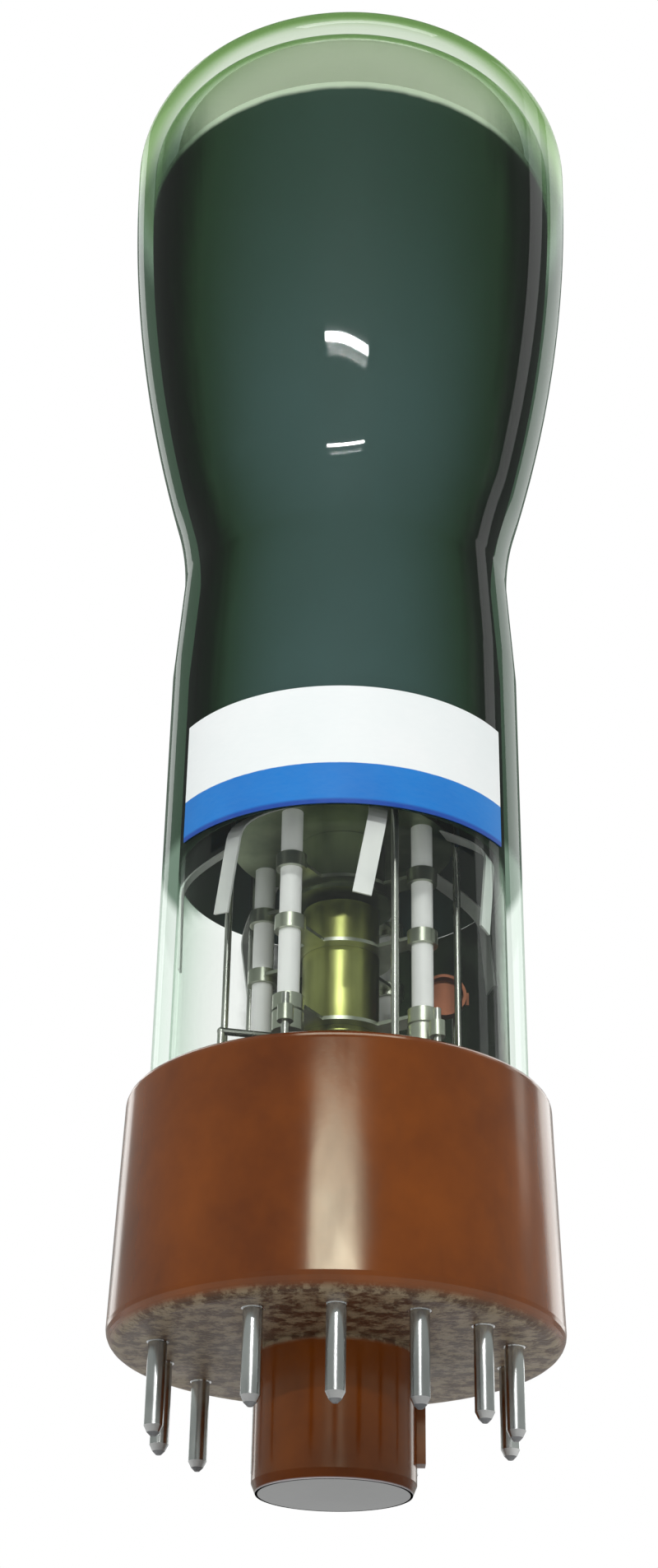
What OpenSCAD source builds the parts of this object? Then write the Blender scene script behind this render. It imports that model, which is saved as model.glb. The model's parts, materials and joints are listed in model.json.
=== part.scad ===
// Oscilloscope tube: a blown glass bulb and neck on a moulded plug-in base, with the
// electron gun strung on four ceramic rods inside the neck.
// The tube's axis is Z with the screen up. The origin is the centre of the base's seating
// face. Angles run from the front (-Y) towards the right (+X).

/* [Base] */
// Diameter of the base shell at its foot
base_d = 57; // [56:0.5:62]
// How much narrower the shell is at its rim
base_draft = 1.6; // [0:0.1:2]
// Height of the shell above its seating face
base_h = 32; // [28:0.5:38]
// Thickness of the shell's floor
base_floor = 4; // [3:0.1:5]
// Wall of the shell at its rim
shell_wall = 1.93; // [1.5:0.01:2.5]
// Thickness of the cement between the shell and the neck
cement_t = 0.97; // [0.4:0.01:1.5]
// Radius round the foot of the shell
base_foot_r = 2.2; // [0.5:0.1:2.5]
// Radius round the rim of the shell
base_rim_r = 1.2; // [0.4:0.1:1.3]
// Diameter of the locating spigot
spigot_d = 20; // [18:0.5:24]
// Length of the spigot below the seating face
spigot_len = 16.8; // [14:0.2:22]
// Bore of the hollow spigot
spigot_bore = 14; // [11:0.5:15]
// Thickness of the spigot's closed end
spigot_end = 2; // [1.5:0.1:3]
// Height of the taper at the spigot's nose
nose_h = 1.2; // [0.8:0.1:3]
// Inset of the taper at the spigot's nose
nose_inset = 0.5; // [0.3:0.1:2]
// Width of the key on the spigot
key_w = 2.4; // [1.5:0.1:4]
// How far the key stands out of the spigot
key_out = 1; // [0.6:0.1:2]
// Distance from the spigot's end to the key's end
key_back = 3.6; // [3:0.1:6]

/* [Pins] */
// Diameter of the circle of pins
pin_circle_d = 44.45; // [42:0.05:46]
// Positions on the circle of pins
pin_positions = 14; // [14:1:14]
// Diameter of a pin
pin_d = 2.36; // [2:0.02:2.6]
// Length of a pin below the seating face
pin_len = 10.8; // [9:0.1:13]
// Taper at a pin's tip
pin_taper = 0.8; // [0.3:0.1:1.2]
// Diameter of a pin inside the base's floor
pin_shank_d = 2.8; // [2.7:0.05:3.2]
// Bore of a hollow pin
pin_bore = 1.3; // [1:0.05:1.5]
// Diameter of a pin's head inside the base
pin_head_d = 3.8; // [3:0.1:5]
// Thickness of a pin's head
pin_head_h = 0.6; // [0.4:0.1:1]
// Depth of the solder in a pin's tip
solder_depth = 2.4; // [1.6:0.1:4]

/* [Glass] */
// Wall of the neck
neck_wall = 2.3; // [1.6:0.1:2.6]
// Diameter at the seam between neck and bulb
seam_d = 47.6; // [46:0.2:49.4]
// Height of the seam above the seating face
seam_z = 112.5; // [106:0.5:122]
// Length of the taper below the seam
seam_taper = 16; // [8:0.5:24]
// Height of the neck's lower edge, where the stem is sealed in
neck_z = 18; // [16:0.2:22]
// Largest diameter of the bulb
bulb_d = 70; // [66:0.2:78]
// Height of the bulb's widest ring
bulb_z = 193.5; // [188:0.5:200]
// Wall of the bulb
bulb_wall = 2.6; // [1.6:0.1:3]
// Blend radius between neck and bulb
flare_r = 48; // [30:1:80]
// Radius round the edge of the face
face_edge_r = 9; // [6:0.5:12]
// Radius of the domed face
face_dome_r = 110; // [90:1:160]
// Thickness of the face
face_t = 4; // [3:0.1:5]
// Thickness of the stem
stem_t = 3.4; // [2.6:0.1:4]
// Distance from the neck's lower edge down to the stem's upper face
stem_drop = 1.6; // [1:0.1:2]
// Radius round the stem's lower edge
stem_edge_r = 2.4; // [1.6:0.1:3]
// Width of the glass bead round each wire
bead_w = 0.9; // [0.5:0.1:1]
// Height of the glass bead round each wire
bead_h = 1.2; // [0.6:0.1:1.8]
// Outer diameter of the sealed-off exhaust tube
exhaust_d = 8.4; // [6:0.1:10]
// Wall of the exhaust tube
exhaust_wall = 1.1; // [0.8:0.1:1.6]
// Length of the exhaust tube below the stem
exhaust_len = 24; // [18:0.5:26]

/* [Coatings and label] */
// Thickness of the luminous screen
screen_t = 0.15; // [0.1:0.05:0.4]
// Diameter of the luminous screen
screen_d = 58; // [50:1:62]
// Thickness of the graphite coating
coat_t = 0.15; // [0.1:0.05:0.4]
// Lower edge of the graphite coating
coat_z = 66; // [60:0.5:76]
// Height of the graphite coating
coat_h = 119; // [100:0.5:120]
// Lower edge of the label
label_z = 64.2; // [60:0.2:70]
// Height of the label
label_h = 17.6; // [10:0.2:24]
// Thickness of the label
label_t = 0.12; // [0.06:0.02:0.3]
// How far the label wraps round the neck, in degrees
label_wrap = 115; // [90:5:350]
// Height of the mirror that the getter leaves on the glass
film_h = 32; // [10:1:33]
// Width of that mirror, in degrees
film_wrap = 158; // [60:2:170]
// Thickness of that mirror
film_t = 0.1; // [0.05:0.05:0.2]

/* [Ceramic rods] */
// Radius of the circle of ceramic rods
rod_circle_r = 12.7; // [12.2:0.1:13]
// Diameter of a ceramic rod
rod_d = 2.9; // [2.4:0.1:3.2]
// Turn of the gun round the tube's axis, in degrees
gun_turn = 13; // [8:1:16]
// Height of the gun's lowest strap
gun_z = 42.3; // [41.5:0.1:44]
// Length of a rod below the lowest strap
rod_tail = 3.4; // [3:0.1:3.8]
// Length of a rod above the last plates' brackets
rod_head = 4; // [3:0.1:6]
// Height of the cups on the rods' upper ends
ferrule_h = 1.6; // [1:0.1:2.4]

/* [Electrodes] */
// Sheet that the straps and brackets are pressed from
sheet_t = 0.5; // [0.3:0.05:0.6]
// Height of the collar that grips a rod
collar_h = 2; // [1.4:0.1:2.4]
// Wall of a collar
collar_wall = 0.6; // [0.4:0.05:0.8]
// Width of a strap's arm
arm_w = 3; // [2:0.1:3.6]
// Width of a strap's ring
hub_w = 1.7; // [1.2:0.1:2]
// Thickness of the lugs that reach the posts
lug_t = 0.8; // [0.6:0.1:1.2]
// Wall of a lug round its post
lug_wall = 0.5; // [0.3:0.1:0.6]
// Outer diameter of the control grid
grid_d = 10.4; // [9:0.1:11]
// Length of the control grid
grid_len = 19; // [17:0.1:19.5]
// Wall of the gun's cylinders
can_wall = 0.35; // [0.2:0.05:0.5]
// Distance between the control grid's two straps
grid_pitch = 11.3; // [9:0.1:12]
// Clear space between the control grid and the accelerator
grid_gap = 0.9; // [0.6:0.1:2]
// Hole in the control grid
grid_hole_d = 0.9; // [0.5:0.1:1.5]
// Diameter of the cathode sleeve
cathode_d = 3; // [2.4:0.1:3.6]
// Length of the cathode sleeve
cathode_len = 9; // [7:0.1:11]
// Space between the cathode and the control grid
cathode_gap = 0.4; // [0.2:0.05:0.8]
// Thickness of the cathode's ceramic disc
cathode_disc_t = 1.5; // [1:0.1:2]
// Distance from the cathode's face down to the ceramic disc's lower face
cathode_drop = 5; // [4:0.1:6]
// Outer diameter of the accelerator
accelerator_d = 12; // [11:0.1:13]
// Length of the accelerator
accelerator_len = 9; // [8.5:0.1:10.5]
// Width of the accelerator's flange
flange_w = 1.2; // [0.8:0.1:1.8]
// Distance from the accelerator's head down to its inner disc
aperture_back = 3; // [1.5:0.1:5]
// Diameter of the disc on top of the accelerator
support_disc_d = 30.4; // [29.6:0.2:30.6]
// Outer diameter of the focusing anode
focus_d = 14; // [12:0.1:15]
// Length of the focusing anode
focus_len = 10; // [8:0.5:13]
// Outer diameter of the final anode
final_d = 12; // [11:0.1:14]
// Length of the final anode
final_len = 11; // [9:0.5:13]
// Clear space between the other neighbouring electrodes
electrode_gap = 2.4; // [1.8:0.1:3]
// Hole in the discs of the accelerator and the anodes
beam_hole_d = 2.4; // [1.2:0.1:4]

/* [Deflection plates] */
// Length of a deflection plate
plate_len = 14; // [11:0.5:16]
// Length of a deflection plate's straight part
plate_straight = 7.7; // [5:0.1:9]
// Width of a deflection plate
plate_w = 12; // [9:0.5:13]
// Thickness of a deflection plate
plate_t = 0.4; // [0.3:0.05:0.6]
// Space between a pair of plates where the beam enters
plate_gap = 3.4; // [2.6:0.1:4.4]
// Space between a pair of plates where the beam leaves
plate_mouth = 9; // [6:0.2:11]
// Height of a plate's bracket above the plate's lower edge
bracket_rise = 3; // [2:0.1:4]
// Diameter of the shield between the two pairs
shield_d = 30; // [29.6:0.2:30.4]
// Width of the beam's slot in the shield
slot_w = 6; // [4:0.2:8]
// Length of the beam's slot in the shield
slot_len = 9; // [7:0.2:11]

/* [Springs and wires] */
// Width of a centring spring
spring_w = 2.5; // [2:0.1:2.8]
// Thickness of the springs
spring_t = 0.3; // [0.15:0.05:0.4]
// Length of a centring spring along the tube
spring_len = 17.5; // [15:0.5:20]
// Lean of a centring spring along the glass, in degrees
spring_lean = 10; // [0:1:12]
// Turn of the centring springs round the tube's axis, in degrees
spring_turn = 9; // [7:0.5:9.5]
// Rise of a contact spring's bow
contact_bow = 1.8; // [0.8:0.1:2.6]
// Diameter of the lead-in wires
wire_d = 0.8; // [0.5:0.05:0.9]
// Diameter of the leads inside the bulb
lead_d = 1; // [0.7:0.05:1.1]
// Radius of the circle of leads in the stem
lead_circle_r = 16; // [15.9:0.05:16.4]
// Diameter of the getter's cup
getter_d = 6; // [5:0.1:7]
// Depth of the getter's cup
getter_h = 1.6; // [1:0.1:2.4]
// Distance from the getter's post to the middle of its cup
getter_reach = 1.6; // [0:0.1:2]

/* [Hidden] */
$fn = 64;

// Clearances: in a bore, between welded or cemented faces, between glass and a film
fit_gap = 0.03;
weld_gap = 0.05;
film_gap = 0.05;

// The pin circle, with its two blank positions
pin_step = 360 / pin_positions;
blanks = [5, 12];
pins = [for (k = [0 : pin_positions - 1]) if (len(search(k, blanks)) == 0) k];
pin_r = pin_circle_d / 2;
wire_end = 0.6;
solder_cap = 0.45;

// Radii of the base and the glass
shell_rim_r = (base_d - base_draft) / 2;
shell_in_r = shell_rim_r - shell_wall;
neck_r = shell_in_r - cement_t;
neck_in_r = neck_r - neck_wall;
seam_r = seam_d / 2;
seam_in_r = seam_r - neck_wall;
bulb_r = bulb_d / 2;
bulb_in_r = bulb_r - bulb_wall;
cement_top = base_h - base_rim_r;
cement_foot = neck_z + 1;

// The domed face is tangent to its rounded edge
dome_z = bulb_z - sqrt(pow(face_dome_r - face_edge_r, 2) - pow(bulb_r - face_edge_r, 2));
inner_edge_r = face_edge_r - face_t;
inner_dome_r = face_dome_r - face_t;
inner_edge_z = dome_z + sqrt(pow(inner_dome_r - inner_edge_r, 2) - pow(bulb_in_r - inner_edge_r, 2));
face_turn_r = (bulb_in_r - inner_edge_r) * inner_dome_r / (inner_dome_r - inner_edge_r);

// Levels of the stem
stem_top = neck_z - stem_drop;
stem_z = stem_top - stem_t;
wire_clear = 1;
lead_foot = stem_top + bead_h + wire_clear;

// Levels of the gun, from the lowest strap up
rod_r = rod_d / 2;
rod_angles = [for (i = [0 : 3]) gun_turn - 45 + 90 * i];
rod_z = gun_z - rod_tail;
grid_z = gun_z - collar_h / 2;
grid_top = grid_z + grid_len;
grid_strap_z = gun_z + grid_pitch;
accelerator_z = grid_top + grid_gap;
accelerator_strap_z = accelerator_z + sheet_t + collar_h / 2;
accelerator_top = accelerator_z + accelerator_len;
support_disc_z = accelerator_top + weld_gap;
focus_z = support_disc_z + sheet_t + electrode_gap;
focus_strap_z = focus_z + focus_len / 2;
final_z = focus_z + focus_len + electrode_gap;
final_strap_z = final_z + final_len / 2;
y_plate_z = final_z + final_len + electrode_gap;
shield_z = y_plate_z + plate_len + electrode_gap / 2;
x_plate_z = shield_z + sheet_t + electrode_gap / 2;
bracket_x = rod_circle_r * sin(45);
spring_knee = 0.4;
rod_top = x_plate_z + bracket_rise + collar_h / 2 + rod_head;

// Cathode inside the control grid
cathode_top = grid_top - can_wall - cathode_gap;
cathode_z = cathode_top - cathode_len;
cathode_disc_z = cathode_top - cathode_drop;
oxide_t = 0.1;
heater_d = 0.7;
heater_leg_r = cathode_d / 2 - can_wall - heater_d / 2 - 0.15;
heater_level = rod_z - 2.4;
heater_lead_z = heater_level - lead_d / 2 - weld_gap;
cathode_lead_d = 0.8;
cathode_lead_z = heater_lead_z - lead_d / 2 - cathode_lead_d / 2 - 0.55;

// Which pin positions hold what
post_pins = [2, 6, 9, 13];
heater_pins = [0, 7];
getter_pin = 4;
grid_pin = 11;
y_plate_pins = [1, 8];
x_plate_pins = [3, 10];
getter_z = gun_z + 7;
getter_wall = 0.4;
getter_strip_w = 1.8;

// Shapes of revolution and placing

// Puts its children at an angle round the tube, counted from the front
module at_angle(a) {
    rotate([0, 0, a])
        children();
}

// Tube with a bore right through
module tube(r_out, r_in, z, h) {
    difference() {
        translate([0, 0, z])
            cylinder(r = r_out, h = h);
        translate([0, 0, z - 1])
            cylinder(r = r_in, h = h + 2);
    }
}

// Disc with a central hole
module holed_disc(r_out, hole_d, z, h) {
    tube(r_out, hole_d / 2, z, h);
}

// Points of an arc round a centre
function arc(cx, cz, r, a0, a1, n) =
    [for (i = [0 : n]) [cx + r * cos(a0 + (a1 - a0) * i / n), cz + r * sin(a0 + (a1 - a0) * i / n)]];

// Radius of the bulb's wall at a height: a straight neck, a hollow blend and a full belly,
// all tangent. (r1, z1) is the seam, (r2, z2) the widest ring and b the blend's radius.
function belly_turn(r1, z1, r2, z2) = 2 * atan((r2 - r1) / (z2 - z1));
function belly_r(r1, z1, r2, z2, b) = (z2 - z1) / sin(belly_turn(r1, z1, r2, z2)) - b;
function wall_r(z, r1, z1, r2, z2, b) =
    z <= z1 ? r1
    : z <= z1 + b * sin(belly_turn(r1, z1, r2, z2)) ? r1 + b - sqrt(b * b - pow(z - z1, 2))
    : z <= z2 ? r2 - belly_r(r1, z1, r2, z2, b)
        + sqrt(pow(belly_r(r1, z1, r2, z2, b), 2) - pow(z2 - z, 2))
    : r2;
function outer_r(z) = wall_r(z, seam_r, seam_z, bulb_r, bulb_z, flare_r);
function bulb_inner_r(z) = wall_r(z, seam_in_r, seam_z, bulb_in_r, inner_edge_z, flare_r + neck_wall);
function neck_inner_r(z) =
    z <= seam_z - seam_taper ? neck_in_r
    : neck_in_r - (neck_in_r - seam_in_r) * (z - seam_z + seam_taper) / seam_taper;
function inner_r(z) = z <= seam_z ? neck_inner_r(z) : bulb_inner_r(z);

// Heights from z0 to z1 in n steps
function steps(z0, z1, n) = [for (i = [0 : n]) z0 + (z1 - z0) * i / n];

// The envelope

module glass_bulb() {
    rise = steps(seam_z, bulb_z, 26);
    inner_rise = steps(seam_z, inner_edge_z, 26);
    edge_end = atan2(bulb_z - dome_z, bulb_r - face_edge_r);
    inner_end = atan2(inner_edge_z - dome_z, bulb_in_r - inner_edge_r);
    outside = concat(
        [for (z = rise) [outer_r(z), z]],
        arc(bulb_r - face_edge_r, bulb_z, face_edge_r, edge_end / 8, edge_end, 7),
        arc(0, dome_z, face_dome_r, edge_end + (90 - edge_end) / 8, 90, 7));
    inside = concat(
        [for (z = inner_rise) [bulb_inner_r(z), z]],
        arc(bulb_in_r - inner_edge_r, inner_edge_z, inner_edge_r, inner_end / 6, inner_end, 5),
        arc(0, dome_z, inner_dome_r, inner_end + (90 - inner_end) / 8, 90, 7));
    color([0.80, 0.90, 0.84, 0.35])
        rotate_extrude($fn = 128)
            polygon(concat(outside, [for (i = [len(inside) - 1 : -1 : 0]) inside[i]]));
}

module glass_neck() {
    color([0.80, 0.90, 0.84, 0.35])
        rotate_extrude($fn = 128)
            polygon([
                [neck_in_r, neck_z],
                [neck_r, neck_z],
                [neck_r, seam_z - seam_taper],
                [seam_r, seam_z],
                [seam_in_r, seam_z],
                [neck_in_r, seam_z - seam_taper]]);
}

// Dished stem with its sealed-off exhaust tube and a glass bead round each lead
module glass_stem() {
    exhaust_r = exhaust_d / 2;
    exhaust_in_r = exhaust_r - exhaust_wall;
    tip_z = stem_z - exhaust_len;
    bead_r = wire_d / 2 + bead_w;
    fillet = 1;
    color([0.80, 0.90, 0.84, 0.35])
        difference() {
            union() {
                rotate_extrude($fn = 96)
                    polygon(concat(
                        [[neck_in_r, neck_z], [neck_in_r - stem_drop / 2, stem_top]],
                        [[exhaust_in_r, stem_top]],
                        [[exhaust_in_r, tip_z + exhaust_r * 1.6], [0, tip_z + exhaust_r * 0.8]],
                        [[0, tip_z], [exhaust_r * 0.35, tip_z + exhaust_r * 0.2]],
                        [[exhaust_r, tip_z + exhaust_r * 1.4], [exhaust_r, stem_z - fillet]],
                        [[exhaust_r + fillet, stem_z]],
                        arc(neck_r - stem_edge_r, stem_z + stem_edge_r, stem_edge_r, -90, 0, 6),
                        [[neck_r, neck_z]]));
                for (k = pins)
                    at_angle(k * pin_step)
                        translate([0, -lead_circle_r, stem_z + stem_t / 2])
                            cylinder(r = bead_r, h = stem_t / 2 + bead_h);
            }
            for (k = pins)
                at_angle(k * pin_step)
                    translate([0, -lead_circle_r, stem_z - 1])
                        cylinder(r = wire_d / 2 + fit_gap, h = stem_t + bead_h + 2, $fn = 32);
        }
}

// Height of the inside of the face at a radius: a dome that turns into a rounded edge
function face_inner_z(r, gap) =
    r <= face_turn_r ? dome_z + sqrt(pow(inner_dome_r - gap, 2) - r * r)
    : inner_edge_z + sqrt(pow(inner_edge_r - gap, 2) - pow(r - bulb_in_r + inner_edge_r, 2));

module phosphor_screen() {
    radii = steps(0, screen_d / 2, 12);
    color([0.86, 0.93, 0.82])
        rotate_extrude($fn = 96)
            polygon(concat(
                [for (r = radii) [r, face_inner_z(r, film_gap)]],
                [for (i = [len(radii) - 1 : -1 : 0])
                    [radii[i], face_inner_z(radii[i], film_gap) - screen_t]]));
}

module graphite_coating() {
    top = coat_z + coat_h;
    levels = concat(
        [coat_z, seam_z - seam_taper],
        steps(seam_z, top, 20));
    color([0.20, 0.25, 0.22])
        rotate_extrude($fn = 128)
            polygon(concat(
                [for (z = levels) [inner_r(z) - film_gap, z]],
                [for (i = [len(levels) - 1 : -1 : 0])
                    [inner_r(levels[i]) - film_gap - coat_t, levels[i]]]));
}

// Mirror that the getter left on the glass beside it
module getter_film() {
    film_r = neck_in_r - film_gap;
    color([0.35, 0.34, 0.33])
        at_angle(getter_pin * pin_step + film_wrap / 4)
            rotate([0, 0, -90 - film_wrap / 2])
                rotate_extrude(angle = film_wrap, $fn = 128)
                    translate([film_r - film_t, getter_z - film_h / 2])
                        square([film_t, film_h]);
}

module neck_label() {
    color([0.94, 0.95, 0.95])
        rotate([0, 0, -90 - label_wrap / 2])
            rotate_extrude(angle = label_wrap, $fn = 128)
                translate([neck_r + film_gap, label_z])
                    square([label_t, label_h]);
}

// The base

module base_shell() {
    foot_r = base_d / 2;
    spigot_r = spigot_d / 2;
    color([0.47, 0.22, 0.10])
        difference() {
            union() {
                rotate_extrude($fn = 128)
                    polygon(concat(
                        [[0, -spigot_len], [spigot_r - nose_inset, -spigot_len]],
                        [[spigot_r, nose_h - spigot_len], [spigot_r, 0]],
                        arc(foot_r - base_foot_r, base_foot_r, base_foot_r, -90, 0, 6),
                        arc(shell_rim_r - base_rim_r, base_h - base_rim_r, base_rim_r, 0, 90, 6),
                        [[shell_in_r, base_h], [shell_in_r, base_floor]],
                        [[spigot_bore / 2, base_floor], [spigot_bore / 2, spigot_end - spigot_len]],
                        [[0, spigot_end - spigot_len]]));
                translate([spigot_r - 1, -key_w / 2, key_back - spigot_len])
                    cube([1 + key_out, key_w, spigot_len - key_back + 0.5]);
            }
            for (k = pins)
                at_angle(k * pin_step)
                    translate([0, -pin_r, -1])
                        cylinder(r = pin_shank_d / 2 + fit_gap, h = base_floor + 2);
        }
}

// Ring of cement between the neck and the shell
module basing_cement() {
    color([0.72, 0.64, 0.50])
        tube(shell_in_r - fit_gap, neck_r + fit_gap, cement_foot, cement_top - cement_foot);
}

// Hollow pin with a head that seats on the base's floor, numbered from the front one
module base_pin(n) {
    color([0.78, 0.78, 0.76])
        at_angle(pins[n - 1] * pin_step)
            translate([0, -pin_r, 0])
                difference() {
                    union() {
                        translate([0, 0, -pin_len])
                            cylinder(r1 = pin_d / 2 - pin_taper / 2, r2 = pin_d / 2, h = pin_taper);
                        translate([0, 0, pin_taper - pin_len])
                            cylinder(r = pin_d / 2, h = pin_len - pin_taper + base_floor / 2);
                        cylinder(r = pin_shank_d / 2, h = base_floor + pin_head_h / 2);
                        translate([0, 0, base_floor + fit_gap])
                            cylinder(r = pin_head_d / 2, h = pin_head_h);
                    }
                    translate([0, 0, -pin_len - 1])
                        cylinder(r = pin_bore / 2, h = pin_len + base_floor + pin_head_h + 2, $fn = 32);
                }
}

// Solder that closes each pin's tip round its wire
module pin_solder() {
    color([0.60, 0.60, 0.60])
        for (k = pins)
            at_angle(k * pin_step)
                translate([0, -pin_r, -pin_len])
                    difference() {
                        union() {
                            cylinder(r = pin_bore / 2 - fit_gap, h = solder_depth, $fn = 32);
                            translate([0, 0, -solder_cap])
                                cylinder(r1 = pin_bore / 4, r2 = pin_d / 2 - pin_taper / 2, h = solder_cap);
                        }
                        translate([0, 0, wire_end])
                            cylinder(r = wire_d / 2 + fit_gap, h = solder_depth, $fn = 32);
                    }
}

// Straight round wire between two points of a radial plane, each given as [radius, height]
module wire(p, q, d) {
    run = q - p;
    translate([0, -p[0], p[1]])
        rotate([atan2(run[0], run[1]), 0, 0])
            cylinder(d = d, h = norm(run), $fn = 32);
}

// Knuckle where two straight wires are joined
module knuckle(p, d) {
    translate([0, -p[0], p[1]])
        sphere(d = d * 1.12, $fn = 32);
}

// Wires from the pins through the stem
module lead_in_wires() {
    foot = [pin_r, wire_end + weld_gap - pin_len];
    bend = [pin_r, base_floor + pin_head_h + wire_clear];
    under = [lead_circle_r, stem_z - wire_clear];
    top = [lead_circle_r, lead_foot];
    color([0.72, 0.45, 0.30])
        for (k = pins)
            at_angle(k * pin_step) {
                wire(foot, bend, wire_d);
                wire(bend, under, wire_d);
                wire(under, top, wire_d);
                knuckle(bend, wire_d);
                knuckle(under, wire_d);
            }
}

// The gun

// Position of a rod and of a post in the plane across the tube
function around(r, a) = [r * sin(a), -r * cos(a)];

// Flat lug that reaches from a rod's collar to the post beside it
module lug(rod_index, post, z, h) {
    p = around(rod_circle_r, rod_angles[rod_index]);
    q = around(lead_circle_r, post_pins[post] * pin_step);
    run = q - p;
    translate([p[0], p[1], z])
        rotate([0, 0, atan2(run[1], run[0])])
            translate([rod_r + collar_wall / 2, -lug_t / 2, 0])
                cube([norm(run) - rod_r - collar_wall / 2, lug_t, h]);
    translate([q[0], q[1], z])
        cylinder(d = lead_d + 2 * (weld_gap + lug_wall), h = h, $fn = 32);
}

// Bore in a lug for its post
module lug_bore(post, z, h) {
    at_angle(post_pins[post] * pin_step)
        translate([0, -lead_circle_r, z - 1])
            cylinder(d = lead_d + 2 * weld_gap, h = h + 2, $fn = 32);
}

// Cuts that let the rods through
module rod_bores(z, h) {
    for (a = rod_angles)
        at_angle(a)
            translate([0, -rod_circle_r, z - 1])
                cylinder(r = rod_r + fit_gap, h = h + 2, $fn = 48);
}

// Collars round the rods, centred on a height
module collars(z) {
    for (a = rod_angles)
        at_angle(a)
            translate([0, -rod_circle_r, z - collar_h / 2])
                cylinder(r = rod_r + collar_wall, h = collar_h, $fn = 48);
}

// Pressed strap that carries a cylinder of diameter d on the four rods
module strap(d, z, rod_index = -1, post = -1) {
    hub_in = d / 2 + weld_gap;
    difference() {
        union() {
            translate([0, 0, z - sheet_t / 2])
                cylinder(r = hub_in + hub_w, h = sheet_t);
            for (a = rod_angles)
                at_angle(a)
                    translate([-arm_w / 2, -rod_circle_r, z - sheet_t / 2])
                        cube([arm_w, rod_circle_r - hub_in, sheet_t]);
            collars(z);
            if (post >= 0)
                lug(rod_index, post, z - sheet_t / 2, sheet_t);
        }
        rod_bores(z - collar_h, 2 * collar_h);
        translate([0, 0, z - collar_h])
            cylinder(r = hub_in, h = 2 * collar_h);
        if (post >= 0)
            lug_bore(post, z - sheet_t, 2 * sheet_t);
    }
}

module ceramic_rod(i) {
    color([0.93, 0.93, 0.90])
        at_angle(rod_angles[i - 1])
            translate([0, -rod_circle_r, rod_z])
                cylinder(r = rod_r, h = rod_top - rod_z, $fn = 48);
}

// Cups on both ends of the rods; the lower ones hang on the posts
module rod_ferrules() {
    cup_r = rod_r + collar_wall;
    cup_h = rod_tail - collar_h / 2 - 0.3;
    color([0.70, 0.70, 0.66]) {
        for (i = [0 : 3])
            difference() {
                union() {
                    at_angle(rod_angles[i])
                        translate([0, -rod_circle_r, rod_z - sheet_t])
                            cylinder(r = cup_r, h = cup_h + sheet_t, $fn = 48);
                    lug(i, post_of_rod(i), rod_z - sheet_t, cup_h);
                }
                at_angle(rod_angles[i])
                    translate([0, -rod_circle_r, rod_z - fit_gap])
                        cylinder(r = rod_r + fit_gap, h = cup_h + 1, $fn = 48);
                lug_bore(post_of_rod(i), rod_z - sheet_t, cup_h);
            }
        for (a = rod_angles)
            at_angle(a)
                translate([0, -rod_circle_r, rod_top - ferrule_h])
                    difference() {
                        cylinder(r = cup_r, h = ferrule_h + sheet_t, $fn = 48);
                        translate([0, 0, -1])
                            cylinder(r = rod_r + fit_gap, h = ferrule_h + 1 + fit_gap, $fn = 48);
                    }
    }
}

// The post that stands beside a rod
function post_of_rod(i) = [3, 0, 1, 2][i];

// Tube closed at its foot or its head by nothing but its own discs
module can(d, z, h) {
    tube(d / 2, d / 2 - can_wall, z, h);
}

// Disc with a beam hole inside a can
module can_disc(d, hole, z) {
    holed_disc(d / 2 - can_wall - weld_gap, hole, z, can_wall);
}

module heater() {
    turn_z = cathode_top - 1.4 - heater_leg_r;
    color([0.90, 0.90, 0.88])
        at_angle(heater_pins[0] * pin_step) {
            for (s = [-1, 1])
                translate([0, s * heater_leg_r, heater_level])
                    cylinder(d = heater_d, h = turn_z - heater_level, $fn = 24);
            translate([0, 0, turn_z])
                rotate([90, 0, 90])
                    rotate_extrude(angle = 180, $fn = 48)
                        translate([heater_leg_r, 0])
                            circle(d = heater_d, $fn = 24);
        }
}

module cathode_sleeve() {
    r = cathode_d / 2;
    collar_t = 0.3;
    color([0.66, 0.66, 0.62])
        difference() {
            union() {
                translate([0, 0, cathode_z])
                    cylinder(r = r, h = cathode_len - oxide_t, $fn = 48);
                translate([0, 0, cathode_disc_z - collar_t - weld_gap])
                    cylinder(r = r + 0.4, h = collar_t, $fn = 48);
            }
            translate([0, 0, cathode_z - 1])
                cylinder(r = r - can_wall / 2, h = cathode_len + 1 - oxide_t - can_wall / 2, $fn = 48);
        }
}

module cathode_coating() {
    color([0.96, 0.96, 0.94])
        translate([0, 0, cathode_top - oxide_t])
            cylinder(r = cathode_d / 2 - 0.3, h = oxide_t, $fn = 48);
}

module cathode_insulator() {
    color([0.95, 0.94, 0.90])
        tube(grid_d / 2 - can_wall - fit_gap, cathode_d / 2 + fit_gap, cathode_disc_z, cathode_disc_t);
}

module grid_cylinder() {
    color([0.62, 0.62, 0.50])
        can(grid_d, grid_z, grid_len);
}

module grid_disc() {
    color([0.62, 0.62, 0.50])
        can_disc(grid_d, grid_hole_d, grid_top - can_wall);
}

module grid_strap_lower() {
    color([0.62, 0.63, 0.60])
        strap(grid_d, gun_z);
}

module grid_strap_upper() {
    color([0.62, 0.63, 0.60])
        strap(grid_d, grid_strap_z);
}

// Cup of the accelerator with its rolled flange below
module accelerator() {
    color([0.55, 0.56, 0.52])
        difference() {
            union() {
                translate([0, 0, accelerator_z])
                    cylinder(d = accelerator_d, h = accelerator_len);
                translate([0, 0, accelerator_z])
                    cylinder(d = accelerator_d + 2 * flange_w, h = sheet_t);
            }
            translate([0, 0, accelerator_z + sheet_t])
                cylinder(d = accelerator_d - 2 * can_wall, h = accelerator_len);
            translate([0, 0, accelerator_z - 1])
                cylinder(d = beam_hole_d, h = 4);
        }
}

module accelerator_disc() {
    color([0.62, 0.63, 0.60])
        can_disc(accelerator_d, beam_hole_d, accelerator_top - aperture_back);
}

module accelerator_strap() {
    color([0.62, 0.63, 0.60])
        strap(accelerator_d, accelerator_strap_z);
}

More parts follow.
